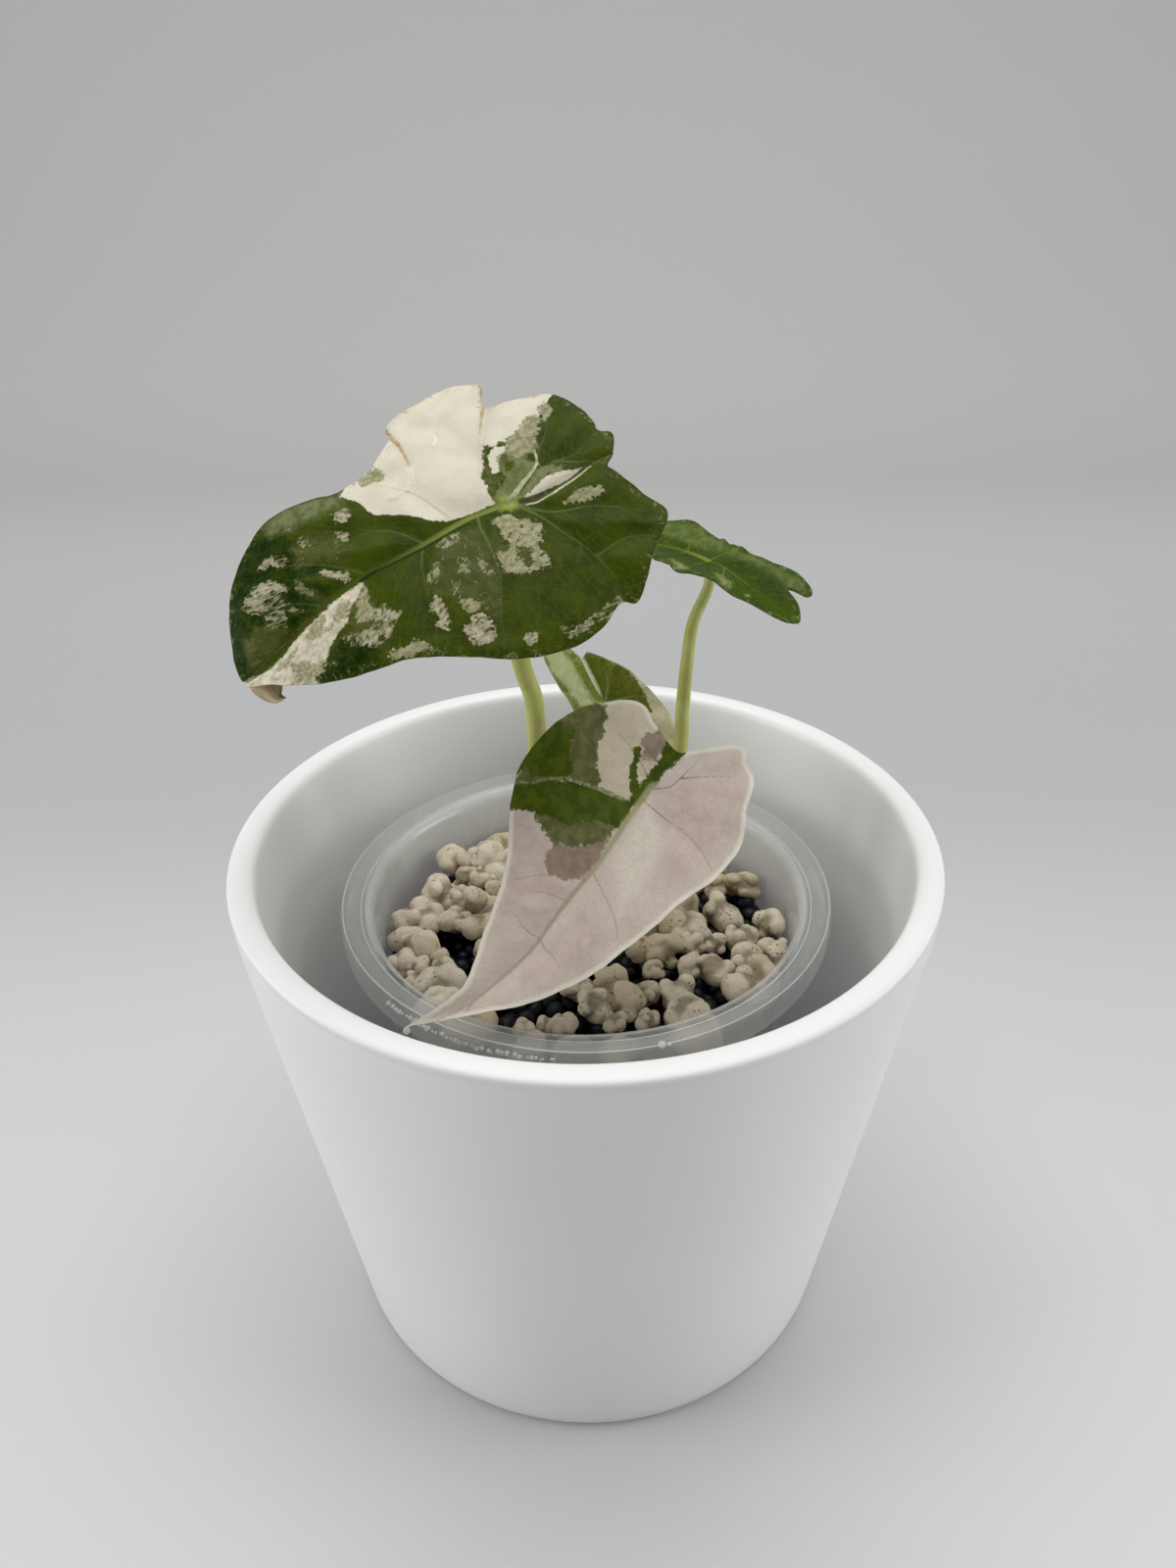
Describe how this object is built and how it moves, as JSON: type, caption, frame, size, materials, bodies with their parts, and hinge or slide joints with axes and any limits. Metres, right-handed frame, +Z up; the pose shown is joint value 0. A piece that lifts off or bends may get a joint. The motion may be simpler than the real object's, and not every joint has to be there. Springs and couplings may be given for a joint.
{
  "type": "potted pink snowflake alocasia",
  "caption": "Young variegated aroid with heart-shaped leaves on slim stalks, in a clear growing cup of pumice and dark granules, standing in a plain conical white pot.",
  "frame": {"origin": "under the middle of the pot, on the surface that it stands on", "axes": "+Z up, -Y towards the front of the plant, +X to the right as seen from the front"},
  "size_m": [0.135, 0.135, 0.1884],
  "materials": {
    "pot_white": "satin matt white",
    "cup_clear": "translucent, slightly milky",
    "granules_dark": "dull blue-black fired granules",
    "pumice": "matt, porous, cream to beige",
    "stem": "fleshy plant tissue, matt",
    "petiole": "pale green plant tissue, satin",
    "leaf_green": "dark green leaf with cream white and grey-green areas, satin gloss",
    "leaf_pink": "pale pink leaf with a green lobe, satin"
  },
  "bodies": {
    "root": {"cachepot": "pot_white", "growing_cup": "cup_clear", "substrate_bed": "granules_dark", "pumice_pebbles": "pumice", "stem_and_roots": "stem", "petiole_large": "petiole", "blade_large": "leaf_green", "petiole_front": "petiole", "blade_front": "leaf_pink", "petiole_right": "petiole", "blade_right": "leaf_green", "petiole_back": "petiole", "blade_back": "leaf_green"}
  },
  "joints": []
}
